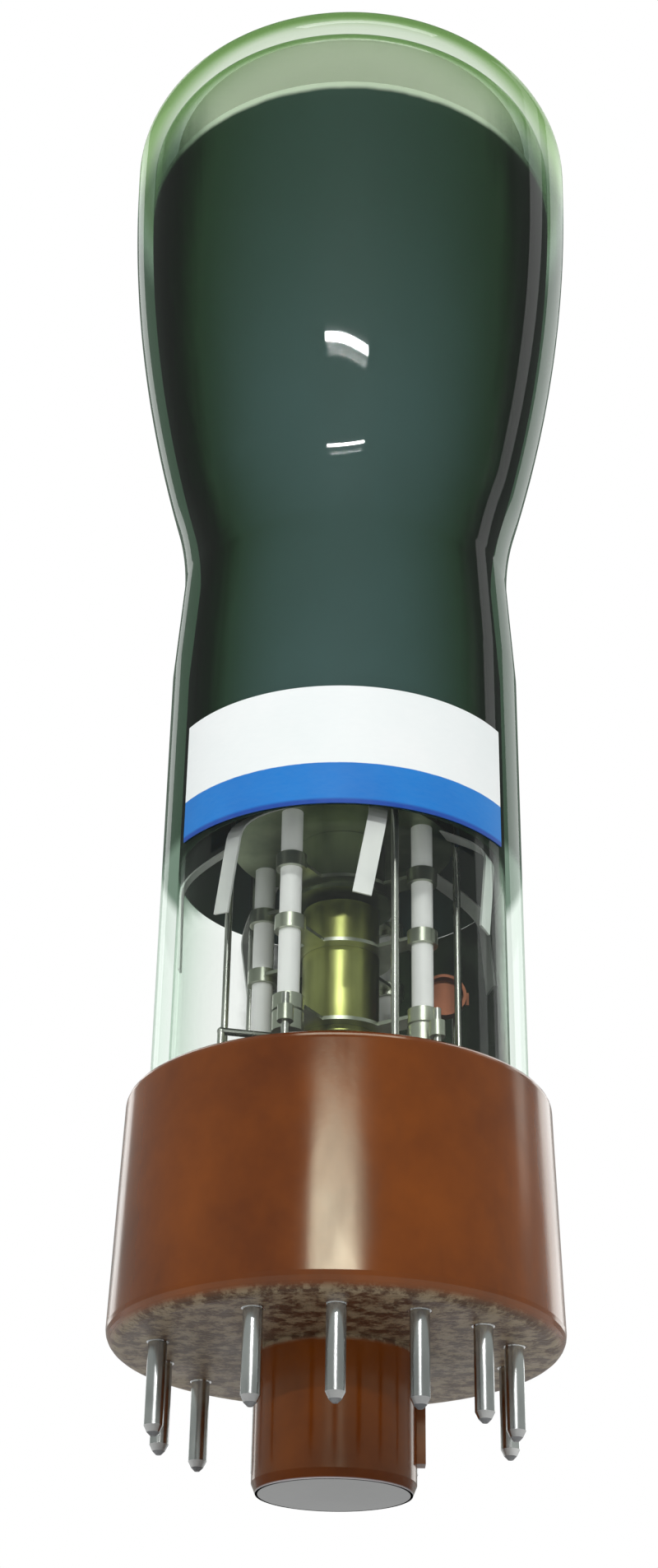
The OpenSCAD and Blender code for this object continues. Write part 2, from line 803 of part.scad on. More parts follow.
// Broad disc that closes the accelerator and carries the centring springs
module support_disc() {
    color([0.50, 0.51, 0.48])
        difference() {
            union() {
                translate([0, 0, support_disc_z])
                    cylinder(d = support_disc_d, h = sheet_t);
                translate([0, 0, support_disc_z])
                    for (a = rod_angles)
                        at_angle(a)
                            translate([0, -rod_circle_r, 0])
                                cylinder(r = rod_r + collar_wall, h = collar_h, $fn = 48);
            }
            rod_bores(support_disc_z, collar_h);
            translate([0, 0, support_disc_z - 1])
                cylinder(d = beam_hole_d, h = 3);
        }
}

module focus_anode() {
    color([0.62, 0.63, 0.60])
        can(focus_d, focus_z, focus_len);
}

// Two discs that close the focusing anode
module focus_disc() {
    color([0.55, 0.56, 0.52]) {
        can_disc(focus_d, beam_hole_d * 1.5, focus_z);
        can_disc(focus_d, beam_hole_d * 1.5, focus_z + focus_len - can_wall);
    }
}

module focus_strap() {
    color([0.62, 0.63, 0.60])
        strap(focus_d, focus_strap_z, 2, 1);
}

module final_anode() {
    color([0.62, 0.63, 0.60])
        can(final_d, final_z, final_len);
}

module final_disc() {
    color([0.55, 0.56, 0.52]) {
        can_disc(final_d, beam_hole_d, final_z);
        can_disc(final_d, beam_hole_d, final_z + final_len - can_wall);
    }
}

module final_strap() {
    color([0.62, 0.63, 0.60])
        strap(final_d, final_strap_z, 3, 2);
}

// Bent plate and its bracket, for the side that faces an angle
module deflection_plate(z, side) {
    rod_x = bracket_x;
    near = plate_gap / 2;
    far = plate_mouth / 2;
    straight = plate_straight;
    frame_w = 0.8;
    level = z + bracket_rise;
    ear = rod_r + collar_wall;
    color([0.66, 0.67, 0.64])
        at_angle(side)
            difference() {
                union() {
                    translate([-plate_w / 2, 0, 0])
                        rotate([90, 0, 90])
                            linear_extrude(height = plate_w)
                                polygon([
                                    [-near, z],
                                    [-near, z + straight],
                                    [-far, z + plate_len],
                                    [-far - plate_t, z + plate_len],
                                    [-near - plate_t, z + straight + plate_t / 2],
                                    [-near - plate_t, z]]);
                    translate([0, 0, level - sheet_t / 2])
                        linear_extrude(height = sheet_t)
                            polygon([
                                [-plate_w / 2, -near - plate_t / 2],
                                [plate_w / 2, -near - plate_t / 2],
                                [rod_x + ear / 2, -rod_x],
                                [rod_x, -rod_x - ear / 2],
                                [-rod_x, -rod_x - ear / 2],
                                [-rod_x - ear / 2, -rod_x]]);
                    for (s = [-1, 1])
                        translate([s * rod_x, -rod_x, level - collar_h / 2])
                            cylinder(r = ear, h = collar_h, $fn = 48);
                }
                for (s = [-1, 1])
                    translate([s * rod_x, -rod_x, level - collar_h])
                        cylinder(r = rod_r + fit_gap, h = 2 * collar_h, $fn = 48);
                translate([-plate_w / 4, frame_w / 2 - rod_x, level - 1])
                    cube([plate_w / 2, rod_x - near - plate_t - 1.5 * frame_w, 2]);
            }
}

// Disc between the two pairs of plates, with a slot for the beam
module plate_shield() {
    color([0.50, 0.51, 0.48])
        difference() {
            union() {
                translate([0, 0, shield_z])
                    cylinder(d = shield_d, h = sheet_t);
                translate([0, 0, shield_z + sheet_t - collar_h / 2])
                    for (a = rod_angles)
                        at_angle(a)
                            translate([0, -rod_circle_r, 0])
                                cylinder(r = rod_r + collar_wall, h = collar_h / 2, $fn = 48);
            }
            rod_bores(shield_z - 2, collar_h + 4);
            at_angle(gun_turn)
                translate([-slot_w / 2, -slot_len / 2, shield_z - 1])
                    cube([slot_w, slot_len, 3]);
        }
}

// Seven springs that hold the gun central in the neck: each bends out from the support disc
// to the glass, then leans along it. They stand between the leads.
module centring_springs() {
    top = support_disc_z - weld_gap;
    start = support_disc_d / 2 - 2 * spring_t;
    middle = top - spring_len * (1 + spring_knee) / 2;
    half = spring_w / 2 + spring_len * (1 - spring_knee) / 2 * sin(spring_lean);
    reach = spring_face(neck_in_r - film_gap - film_t, half) - spring_t - start;
    run = steps(0, 1, 20);
    color([0.80, 0.80, 0.78])
        for (i = [0 : pin_positions / 2 - 1])
            at_angle(spring_turn + 2 * pin_step * i)
                translate([0, 0, middle])
                    rotate([0, spring_lean, 0])
                        translate([-spring_w / 2, 0, -middle])
                            rotate([90, 0, 90])
                                linear_extrude(height = spring_w)
                                    polygon(concat(
                                        [for (s = run)
                                            [-start - reach * spring_curve(s), top - spring_len * s]],
                                        [for (i = [20 : -1 : 0])
                                            [-start - spring_t - reach * spring_curve(run[i]),
                                             top - spring_len * run[i]]]));
}

// Share of the way out to the glass at a share of the spring's length
function spring_curve(s) = sin(min(90, 90 * s / spring_knee));

// How far out a flat spring reaches inside a round wall before its corners touch, which
// stand half its width to a side
function spring_face(wall, half) = sqrt(wall * wall - half * half) - weld_gap;

// Springs that join the shield to the graphite coating
module contact_springs() {
    start = shield_d / 2 - 0.8;
    wall = spring_face(inner_r(shield_z) - film_gap - coat_t, spring_w / 2);
    rise = [for (i = [0 : 10]) i / 10];
    color([0.80, 0.80, 0.78])
        for (i = [0 : 3])
            at_angle(gun_turn + 90 * i)
                translate([-spring_w / 2, 0, shield_z + sheet_t + weld_gap])
                    rotate([90, 0, 90])
                        linear_extrude(height = spring_w)
                            polygon(concat(
                                [for (s = rise) [-start - (wall - start) * s, contact_bow * sin(180 * s)]],
                                [for (i = [10 : -1 : 0])
                                    [-start - (wall - start) * rise[i],
                                     spring_t + contact_bow * sin(180 * rise[i])]]));
}

// A lead: up from the stem at its own pin position, then in towards the axis
module lead(k, level, end_r) {
    foot = [lead_circle_r, lead_foot + fit_gap];
    corner = [lead_circle_r, level];
    at_angle(k * pin_step) {
        wire(foot, corner, lead_d);
        wire([end_r, level], corner, lead_d);
        knuckle(corner, lead_d);
    }
}

// A post without an arm
module post(k, top) {
    at_angle(k * pin_step)
        wire([lead_circle_r, lead_foot + fit_gap], [lead_circle_r, top], lead_d);
}

// Height of a lead's arm that lies under a sheet at a height
function below(z) = z - sheet_t / 2 - lead_d / 2 - weld_gap;

// Where a lead ends under the bracket of a plate that faces an angle
function under_bracket(k, side) = (bracket_x + 0.2) / cos(k * pin_step - side);

// Posts, heater leads, grid lead, cathode lead and the leads of the plates
module support_leads() {
    cathode_lead_r = cathode_d / 2 + cathode_lead_d / 2 + weld_gap;
    post_tops = [gun_z, focus_strap_z + 1, final_strap_z + 1, gun_z];
    color([0.70, 0.70, 0.66]) {
        for (i = [0 : 3])
            post(post_pins[i], post_tops[i]);
        at_angle(post_pins[0] * pin_step) {
            wire([cathode_lead_r, cathode_lead_z], [lead_circle_r, cathode_lead_z], cathode_lead_d);
            wire([cathode_lead_r, cathode_lead_z], [cathode_lead_r, cathode_z + 1.6], cathode_lead_d);
            knuckle([cathode_lead_r, cathode_lead_z], cathode_lead_d);
        }
        for (k = heater_pins)
            lead(k, heater_lead_z, heater_leg_r - heater_d / 2);
        lead(grid_pin, below(gun_z), grid_d / 2 + hub_w / 2);
        for (i = [0, 1]) {
            lead(y_plate_pins[i], below(y_plate_z + bracket_rise),
                under_bracket(y_plate_pins[i], gun_turn + 180 * i));
            lead(x_plate_pins[i], below(x_plate_z + bracket_rise),
                under_bracket(x_plate_pins[i], gun_turn + 90 + 180 * i));
        }
        post(getter_pin, getter_z + getter_d / 2);
    }
}

// Cup that held the getter's charge, facing the front, on a strip welded across its post
module getter_cup() {
    back = lead_d / 2 + weld_gap;
    left = getter_reach + getter_d / 2;
    color([0.60, 0.42, 0.32])
        translate(concat(around(lead_circle_r, getter_pin * pin_step), [getter_z])) {
            translate([-getter_reach, -back - getter_wall / 2, 0])
                rotate([90, 0, 0])
                    difference() {
                        cylinder(d = getter_d, h = getter_h, $fn = 48);
                        translate([0, 0, getter_wall])
                            cylinder(d = getter_d - 2 * getter_wall, h = getter_h, $fn = 48);
                    }
            translate([-left, -back - getter_wall, -getter_strip_w / 2])
                cube([left + getter_strip_w, getter_wall, getter_strip_w]);
        }
}

glass_bulb();
glass_neck();
glass_stem();
phosphor_screen();
graphite_coating();
getter_film();
neck_label();
base_shell();
basing_cement();
base_pin(1);  // base_pin_1
base_pin(2);  // base_pin_2
base_pin(3);  // base_pin_3
base_pin(4);  // base_pin_4
base_pin(5);  // base_pin_5
base_pin(6);  // base_pin_6
base_pin(7);  // base_pin_7
base_pin(8);  // base_pin_8
base_pin(9);  // base_pin_9
base_pin(10);  // base_pin_10
base_pin(11);  // base_pin_11
base_pin(12);  // base_pin_12
pin_solder();
lead_in_wires();
support_leads();
heater();
cathode_sleeve();
cathode_coating();
cathode_insulator();
grid_cylinder();
grid_disc();
grid_strap_lower();
grid_strap_upper();
accelerator();
accelerator_disc();
accelerator_strap();
support_disc();
focus_anode();
focus_disc();
focus_strap();
final_anode();
final_disc();
final_strap();
deflection_plate(y_plate_z, gun_turn);  // y_plate_front
deflection_plate(y_plate_z, gun_turn + 180);  // y_plate_back
plate_shield();
deflection_plate(x_plate_z, gun_turn - 90);  // x_plate_left
deflection_plate(x_plate_z, gun_turn + 90);  // x_plate_right
ceramic_rod(1);  // ceramic_rod_1
ceramic_rod(2);  // ceramic_rod_2
ceramic_rod(3);  // ceramic_rod_3
ceramic_rod(4);  // ceramic_rod_4
rod_ferrules();
centring_springs();
contact_springs();
getter_cup();
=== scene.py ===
import json
import math

import bmesh
import bpy
from mathutils import Matrix, Vector


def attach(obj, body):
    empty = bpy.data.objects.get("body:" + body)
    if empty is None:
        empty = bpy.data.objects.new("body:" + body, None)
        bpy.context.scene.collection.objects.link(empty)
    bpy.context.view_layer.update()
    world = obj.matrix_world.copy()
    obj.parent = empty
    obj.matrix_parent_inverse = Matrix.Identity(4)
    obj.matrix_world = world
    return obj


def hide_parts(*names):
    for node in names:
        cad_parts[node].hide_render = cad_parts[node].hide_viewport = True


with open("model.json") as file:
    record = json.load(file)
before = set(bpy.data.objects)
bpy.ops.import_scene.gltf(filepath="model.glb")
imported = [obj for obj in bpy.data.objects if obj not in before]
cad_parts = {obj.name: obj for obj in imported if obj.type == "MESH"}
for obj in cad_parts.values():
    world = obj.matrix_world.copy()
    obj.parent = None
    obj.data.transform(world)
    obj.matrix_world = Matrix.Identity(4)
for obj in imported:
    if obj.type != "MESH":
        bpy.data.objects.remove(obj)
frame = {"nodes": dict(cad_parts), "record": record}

scene = bpy.context.scene
# Blender's own starting objects
for name in ("Cube", "Light", "Camera"):
    if name in scene.objects:
        bpy.data.objects.remove(scene.objects[name])
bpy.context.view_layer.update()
nodes = frame["nodes"]
scene.view_settings.view_transform = "Standard"
MM = 0.001

# Sizes, in millimetres
NECK_R = 24.8
NECK_WALL = 2.3
NECK_FOOT = 18.0
SEAM_R = 23.8
SEAM_Z = 112.5
SEAM_TAPER = 16.0
BULB_R = 35.0
BULB_Z = 193.5
BULB_WALL = 2.6
FLARE_R = 48.0
EDGE_R = 9.0
DOME_R = 110.0
FACE_T = 4.0
FILM_GAP = 0.05
COAT_T = 0.15
COAT_FOOT = 65.4
COAT_HEAD = 185.0
SCREEN_R = 29.0
SCREEN_T = 0.15
FLOOR_Z = -16.8
FLOOR_HOLE_R = 9.2

INNER_EDGE_R = EDGE_R - FACE_T
INNER_DOME_R = DOME_R - FACE_T
BULB_IN_R = BULB_R - BULB_WALL
SEAM_IN_R = SEAM_R - NECK_WALL
NECK_IN_R = NECK_R - NECK_WALL
DOME_Z = BULB_Z - math.sqrt((DOME_R - EDGE_R) ** 2 - (BULB_R - EDGE_R) ** 2)
INNER_EDGE_Z = DOME_Z + math.sqrt(
    (INNER_DOME_R - INNER_EDGE_R) ** 2 - (BULB_IN_R - INNER_EDGE_R) ** 2)

# Heights from which and up to which a look sets in, in millimetres. A look that ends with the
# height has the higher one first.
SHADE_ABOVE = (63.5, 66.5)
SHADE_BELOW = (192.0, 180.0)
LEAF_GREEN_ABOVE = (185.0, 199.0)
COAT_GREEN_ABOVE = (100.0, 170.0)
# Painted highlight: a pale line along the coat's upper edge
COAT_EDGE_HIGHLIGHT_ABOVE = (183.6, 184.7)
LABEL_EDGE_ENDS = (64.6, 65.1)
LABEL_WHITE_ABOVE = (70.16, 70.30)
DUST_BELOW = (1.1, 0.2)
DUST_ABOVE = (-0.8, -0.1)
# Painted reflection: the spigot's end face is pale grey
END_REFLECTION_BELOW = (-16.55, -16.75)
FILM_ABOVE = (33.3, 41.0)
FILM_BROWN_BELOW = (46.0, 40.0)

# Direction of the middle of the getter's mirror, in degrees from the front
FILM_MIDDLE = 142.4

# Shares of gloss on the glass: seen straight, added at a slant, and taken off beside the coat
GLOSS_STRAIGHT = 0.027
GLOSS_SLANT = 0.28
GLOSS_BESIDE_COAT = 0.93

# Faces round a piece, the least angle of a crease in degrees, and faces round the floor
ROUND_GLASS = 192
ROUND_SCREEN = 160
CREASE = 30
ROUND_FLOOR = 64

# The floor's two outer rings, and where it fades into the white, in metres
FLOOR_RINGS = (0.1, 3.0)
FLOOR_FADE = (0.25, 1.1)

# The point that the lamps are turned towards, in metres
LAMP_AIM = Vector((0, 0, 0.08))


class Value:
    """A number that varies over a surface, so that it can be worked with like a plain number."""

    def __init__(self, nodes, socket):
        self.nodes = nodes
        self.socket = socket

    def _maths(self, operation, first, second):
        return self.nodes.node("ShaderNodeMath", {"operation": operation}, {0: first, 1: second})

    def __add__(self, other):
        return self._maths("ADD", self, other)

    def __radd__(self, other):
        return self._maths("ADD", other, self)

    def __rsub__(self, other):
        return self._maths("SUBTRACT", other, self)

    def __mul__(self, other):
        return self._maths("MULTIPLY", self, other)

    def __rmul__(self, other):
        return self._maths("MULTIPLY", other, self)

    def __pow__(self, other):
        return self._maths("POWER", self, other)


class Nodes:
    """A node tree, with one way to add a node to it."""

    def __init__(self, tree):
        self.tree = tree
        self.tree.nodes.clear()

    def node(self, kind, settings=None, inputs=None, output=0):
        made = self.tree.nodes.new(kind)
        for key, value in (settings or {}).items():
            setattr(made, key, value)
        for key, value in (inputs or {}).items():
            socket = made.inputs[key]
            if isinstance(value, Value):
                self.tree.links.new(value.socket, socket)
            elif socket.type == "RGBA" and len(value) == 3:
                socket.default_value = (*value, 1.0)
            else:
                socket.default_value = value
        return Value(self, made.outputs[output]) if made.outputs else None

    def surface(self, shader, kind="ShaderNodeOutputMaterial"):
        self.node(kind, inputs={"Surface": shader})


class Finish(Nodes):
    """A material under its finish's name."""

    def __init__(self, name):
        self.material = bpy.data.materials.new(name)
        self.material.use_nodes = True
        super().__init__(self.material.node_tree)

    def place(self):
        """The point in the object's own frame, in metres."""
        return self.node("ShaderNodeTexCoord", output="Object")

    def noise(self, where, scale, detail=3.0, roughness=0.5):
        """Soft noise from 0 to 1, with features of 1 / scale metres."""
        return self.node("ShaderNodeTexNoise", {"normalize": True}, {
            "Vector": where, "Scale": scale, "Detail": detail, "Roughness": roughness}, "Fac")

    def stretched(self, where, x, y, z):
        return self.node("ShaderNodeMapping", inputs={"Vector": where, "Scale": (x, y, z)})

    def height(self, where):
        """The Z of a point."""
        return self.node("ShaderNodeSeparateXYZ", inputs={"Vector": where}, output="Z")

    def between(self, value, low, high, floor=0.0, ceiling=1.0):
        """Maps low..high onto floor..ceiling with soft ends."""
        return self.node("ShaderNodeMapRange", {"interpolation_type": "SMOOTHSTEP"}, {
            "Value": value, "From Min": low, "From Max": high, "To Min": floor, "To Max": ceiling})

    def set_in(self, height, heights):
        """Goes from 0 to 1 between two heights in millimetres."""
        return self.between(height, heights[0] * MM, heights[1] * MM)

    def blend(self, share, first, second):
        """A colour between two colours."""
        return self.node("ShaderNodeMix", {"data_type": "RGBA"}, {0: share, 6: first, 7: second}, 2)

    def bump(self, height, strength, distance):
        return self.node("ShaderNodeBump", inputs={
            "Height": height, "Strength": strength, "Distance": distance})

    def shader(self, kind, **inputs):
        """A shader whose sockets are given by name, with _ for a space."""
        return self.node(kind, inputs={
            key.replace("_", " "): value for key, value in inputs.items()})

    def mixed(self, share, first, second):
        return self.node("ShaderNodeMixShader", inputs={0: share, 1: first, 2: second})

    def close(self, shader):
        self.surface(shader)
        return self.material

    def solid(self, **inputs):
        """Closes the material with one principled shader."""
        return self.close(self.shader("ShaderNodeBsdfPrincipled", **inputs))


def srgb(red, green, blue):
    """A colour of a screen, 0 to 255, as light."""
    return tuple(
        c / 12.92 if c <= 0.04045 else ((c + 0.055) / 1.055) ** 2.4
        for c in (red / 255, green / 255, blue / 255))


def glass_finish():
    """Thin clear glass, glossy and faintly green where the eye meets it at a slant.

    Beside the coat, where it is seen at a slant, its wall gets a painted shade as dark as the coat,
    and round the face it looks leaf green.
    """
    finish = Finish("clear_glass")
    place = finish.place()
    height = finish.height(place)
    facing = finish.node("ShaderNodeLayerWeight", inputs={"Blend": 0.5}, output="Facing")
    ripple = finish.noise(finish.stretched(place, 1, 1, 0.3), 60, 2.0)
    normal = finish.bump(ripple, 0.04, 0.001)
    streak = finish.noise(finish.stretched(place, 1, 1, 0.08), 300, 3.0)
    slant = finish.between(facing + streak * 0.10, 0.50, 0.66)
    beside_coat = finish.set_in(height, SHADE_ABOVE) * finish.set_in(height, SHADE_BELOW)
    round_face = finish.set_in(height, LEAF_GREEN_ABOVE) * finish.between(facing, 0.26, 0.66)
    through = finish.mixed(
        finish.between(facing, 0.25, 1.0),
        finish.shader("ShaderNodeBsdfTransparent", Color=(0.985, 0.995, 0.985)),
        finish.shader("ShaderNodeBsdfTransparent", Color=(0.82, 0.90, 0.84)))
    # Painted shade: where the wall beside the coat is seen at a slant, it lets through only a dark
    # green-grey, standing for the coat seen through the thick glass.
    through = finish.mixed(
        slant * beside_coat, through,
        finish.shader("ShaderNodeBsdfTransparent", Color=(0.18, 0.26, 0.20)))
    through = finish.mixed(
        round_face, through,
        finish.shader("ShaderNodeBsdfTransparent", Color=(0.36, 0.53, 0.25)))
    gloss = finish.shader(
        "ShaderNodeBsdfAnisotropic", Color=(1.0, 1.0, 1.0), Roughness=0.03, Normal=normal)
    coated_side = finish.node("ShaderNodeNewGeometry", output="Backfacing") * beside_coat
    share = (GLOSS_STRAIGHT + GLOSS_SLANT * facing ** 5) * (1 - coated_side * GLOSS_BESIDE_COAT)
    return finish.close(finish.mixed(share, through, gloss))


def graphite_finish():
    """Slate grey coating, greener towards the face, with painted shade that turns it deep dark
    green towards its outline, and a painted highlight along its upper edge.
    """
    finish = Finish("graphite_coat")
    place = finish.place()
    cloud = finish.noise(place, 25, 4.0, 0.55)
    brush = finish.noise(finish.stretched(place, 1, 1, 0.12), 240, 3.0)
    height = finish.height(place)
    upper = finish.set_in(height, COAT_GREEN_ABOVE)
    base = finish.blend(cloud, srgb(54, 80, 76), srgb(76, 104, 107))
    base = finish.blend(brush * 0.3, base, srgb(66, 84, 82))
    color = finish.blend(upper * 0.45, base, srgb(32, 58, 34))
    facing = finish.node("ShaderNodeLayerWeight", inputs={"Blend": 0.5}, output="Facing")
    # Painted shade: the coat turns deep dark green where it is seen towards its outline.
    color = finish.blend(finish.between(facing, 0.08, 0.55) * 0.9, color, srgb(14, 46, 6))
    # Painted highlight: a pale line along the coat's upper edge.
    edge_highlight = finish.set_in(height + brush * 0.0006, COAT_EDGE_HIGHLIGHT_ABOVE)
    color = finish.blend(edge_highlight, color, srgb(206, 220, 196))
    return finish.solid(
        Base_Color=color, Roughness=0.42 + brush * 0.2, Specular_IOR_Level=0.12,
        Normal=finish.bump(brush, 0.12, 0.0002))


def phosphor_finish():
    """Fine pale powder that lets some light through."""
    finish = Finish("phosphor_powder")
    grain = finish.noise(finish.place(), 900, 4.0, 0.6)
    powder = finish.shader(
        "ShaderNodeBsdfPrincipled",
        Base_Color=finish.blend(grain, srgb(226, 234, 214), srgb(246, 248, 236)), Roughness=0.9,
        Specular_IOR_Level=0.1, Normal=finish.bump(grain, 0.25, 0.0001))
    glow = finish.shader("ShaderNodeBsdfTranslucent", Color=(0.86, 0.9, 0.82))
    return finish.close(finish.mixed(0.5, powder, glow))


def label_finish():
    """A plain label, white over blue."""
    finish = Finish("label_print")
    place = finish.place()
    height = finish.height(place)
    fibre = finish.noise(finish.stretched(place, 1, 1, 3), 700, 4.0, 0.6)
    cloud = finish.noise(place, 90, 3.0)
    white = finish.blend(cloud, srgb(236, 243, 242), srgb(248, 250, 249))
    blue = finish.blend(cloud, srgb(6, 104, 190), srgb(24, 132, 214))
    blue = finish.blend(finish.set_in(height, LABEL_EDGE_ENDS), srgb(6, 66, 160), blue)
    upper = finish.set_in(height + fibre * 0.00012, LABEL_WHITE_ABOVE)
    color = finish.blend(fibre * 0.08, finish.blend(upper, blue, white), srgb(180, 196, 205))
    return finish.solid(
        Base_Color=color, Roughness=0.38 + fibre * 0.12, Specular_IOR_Level=0.2,
        Normal=finish.bump(fibre, 0.1, 0.0001))


def bakelite_finish():
    """Glossy brown moulding with a dusty underside and a painted reflection that makes the spigot's
    end face pale grey.
    """
    finish = Finish("brown_bakelite")
    place = finish.place()
    swirl = finish.noise(place, 38, 5.0, 0.62)
    flow = finish.noise(finish.stretched(place, 1, 1, 0.35), 120, 4.0, 0.6)
    speck = finish.noise(place, 1400, 3.0, 0.7)
    base = finish.blend(finish.between(swirl, 0.2, 0.8), srgb(82, 31, 2), srgb(126, 61, 6))
    base = finish.blend(finish.between(flow, 0.5, 0.8) * 0.5, base, srgb(80, 34, 6))
    height = finish.height(place)
    underside = finish.set_in(height, DUST_BELOW) * finish.set_in(height, DUST_ABOVE)
    grit = finish.between(finish.noise(place, 420, 4.0, 0.75), 0.42, 0.60)
    dust = finish.blend(grit, srgb(56, 36, 24), srgb(138, 126, 102))
    color = finish.blend(underside * 0.85, base, dust)
    # Painted reflection: the spigot's end face is coloured pale grey.
    end_reflection = finish.blend(swirl, srgb(188, 184, 188), srgb(222, 220, 224))
    color = finish.blend(finish.set_in(height, END_REFLECTION_BELOW), color, end_reflection)
    rough = finish.between(flow, 0.3, 0.9, 0.13, 0.27)
    return finish.solid(
        Base_Color=color, Roughness=rough + underside * 0.25, Specular_IOR_Level=0.6,
        Specular_Tint=(1.0, 0.96, 0.72),
        Normal=finish.bump(speck * (0.03 + underside), 0.35, 0.0003))


def metal_finish(name, dark, bright, rough, scale=300, metallic=1.0):
    """Metal drawn or brushed along the tube."""
    finish = Finish(name)
    place = finish.place()
    tone = finish.noise(place, 70, 3.0)
    brush = finish.noise(finish.stretched(place, 1, 1, 0.2), scale, 4.0, 0.6)
    color = finish.blend(finish.between(tone + brush * 0.4, 0.4, 1.0), dark, bright)
    return finish.solid(
        Base_Color=color, Metallic=metallic, Roughness=rough + brush * 0.14,
        Normal=finish.bump(brush, 0.12, 0.00012))


def powder_finish(name, dark, bright, rough=0.7, scale=800, depth=0.0001):
    """A dull grained surface."""
    finish = Finish(name)
    place = finish.place()
    grain = finish.noise(place, scale, 4.0, 0.6)
    cloud = finish.noise(place, 60, 3.0)
    color = finish.blend(finish.between(cloud + grain * 0.4, 0.4, 1.0), dark, bright)
    return finish.solid(
        Base_Color=color, Roughness=rough, Specular_IOR_Level=0.3,
        Normal=finish.bump(grain, 0.3, depth))


def getter_mirror_finish():
    """A dark mirror on the glass, with a brown border, that thins out downwards and sideways."""
    finish = Finish("getter_mirror")
    place = finish.place()
    cloud = finish.noise(place, 90, 4.0, 0.6)
    height = finish.height(place)
    fade = finish.set_in(height, FILM_ABOVE)
    border = finish.set_in(height + cloud * 0.006, FILM_BROWN_BELOW)
    color = finish.blend(cloud, srgb(48, 66, 46), srgb(98, 116, 92))
    color = finish.blend(border * 0.8, color, srgb(92, 70, 40))
    middle = math.radians(FILM_MIDDLE)
    neck = NECK_IN_R * MM
    across = finish.node("ShaderNodeVectorMath", {"operation": "DOT_PRODUCT"}, {
        0: place, 1: (math.sin(middle) / neck, -math.cos(middle) / neck, 0)}, "Value")
    sides = finish.between(across + cloud * 0.3, 0.34, 0.74)
    cover = finish.between(fade + cloud * 0.5, 0.3, 0.75) * sides
    return finish.solid(
        Base_Color=color, Metallic=0.85, Roughness=0.14 + cloud * 0.2, Alpha=cover)


finishes = {
    "glass": glass_finish(),
    "phosphor": phosphor_finish(),
    "graphite": graphite_finish(),
    "getter_mirror": getter_mirror_finish(),
    "label": label_finish(),
    "bakelite": bakelite_finish(),
    "cement": powder_finish("basing_cement", srgb(150, 132, 100), srgb(196, 178, 146), 0.85, 500),
    "pin_metal": metal_finish("plated_pin", srgb(168, 170, 170), srgb(226, 228, 226), 0.14, 500),
    "solder": powder_finish("dull_solder", srgb(96, 98, 100), srgb(150, 152, 154), 0.4, 700),
    "lead_wire": metal_finish("copper_wire", srgb(168, 100, 66), srgb(206, 136, 94), 0.25),
    "support_wire": metal_finish("nickel_wire", srgb(150, 152, 146), srgb(206, 208, 200), 0.2),
    "heater": powder_finish("heater_coat", srgb(220, 220, 214), srgb(244, 244, 240)),
    "nickel": metal_finish("nickel_sheet", srgb(150, 156, 140), srgb(210, 214, 198), 0.26),
    # Nickel grey with a painted reflection: tinted yellow-green for the green surroundings it
    # mirrors.
    "grid_nickel": metal_finish("grid_nickel", srgb(120, 124, 70), srgb(184, 188, 116), 0.24),
    "dark_nickel": metal_finish("dark_nickel", srgb(92, 104, 80), srgb(152, 162, 134), 0.32),
    "oxide": powder_finish("cathode_oxide", srgb(228, 228, 224), srgb(246, 246, 242)),
    "ceramic": powder_finish(
        "white_ceramic", srgb(240, 242, 240), srgb(253, 253, 252), 0.42, 600, 0.00005),
    "spring": metal_finish(
        "spring_strip", srgb(206, 206, 206), srgb(244, 244, 242), 0.3, metallic=0.45),
    "getter": metal_finish("getter_cup", srgb(96, 58, 44), srgb(168, 110, 84), 0.4),
}

slot_of = {row["node"]: row["material_slot"] for row in frame["record"]["subparts"]}
for name, piece in nodes.items():
    piece.data.materials.clear()
    piece.data.materials.append(finishes[slot_of[name]])


def lathe(name, outline, segments, slot, node_names):
    """A solid of revolution round Z from a closed outline of radii and heights in millimetres."""
    mesh = bmesh.new()
    rings = []
    for radius, level in outline:
        if radius == 0:
            rings.append([mesh.verts.new((0, 0, level * MM))])
        else:
            rings.append([
                mesh.verts.new((
                    radius * MM * math.cos(2 * math.pi * i / segments),
                    radius * MM * math.sin(2 * math.pi * i / segments),
                    level * MM))
                for i in range(segments)])
    for k, ring in enumerate(rings):
        after = rings[(k + 1) % len(rings)]
        if len(ring) == 1 and len(after) == 1:
            continue
        for i in range(segments):
            j = (i + 1) % segments
            if len(ring) == 1:
                mesh.faces.new((ring[0], after[j], after[i]))
            elif len(after) == 1:
                mesh.faces.new((ring[i], ring[j], after[0]))
            else:
                mesh.faces.new((ring[i], ring[j], after[j], after[i]))
    return finish_piece(name, mesh, slot, node_names)


def finish_piece(name, mesh, slot, node_names):
    """A smooth visual piece that stands for CAD nodes."""
    bmesh.ops.recalc_face_normals(mesh, faces=mesh.faces)
    data = bpy.data.meshes.new(name)
    mesh.to_mesh(data)
    mesh.free()
    for face in data.polygons:
        face.use_smooth = True
    data.set_sharp_from_angle(angle=math.radians(CREASE))
    piece = bpy.data.objects.new(name, data)
    scene.collection.objects.link(piece)
    data.materials.append(finishes[slot])
    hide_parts(*node_names)
    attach(piece, "root")
    return piece


def arc(centre_r, centre_z, radius, start, end, count):
    """Points on a circle between two angles in degrees."""
    return [
        (centre_r + radius * math.cos(math.radians(start + (end - start) * i / count)),
         centre_z + radius * math.sin(math.radians(start + (end - start) * i / count)))
        for i in range(count + 1)]


def spread(start, end, count):
    return [start + (end - start) * i / count for i in range(count + 1)]


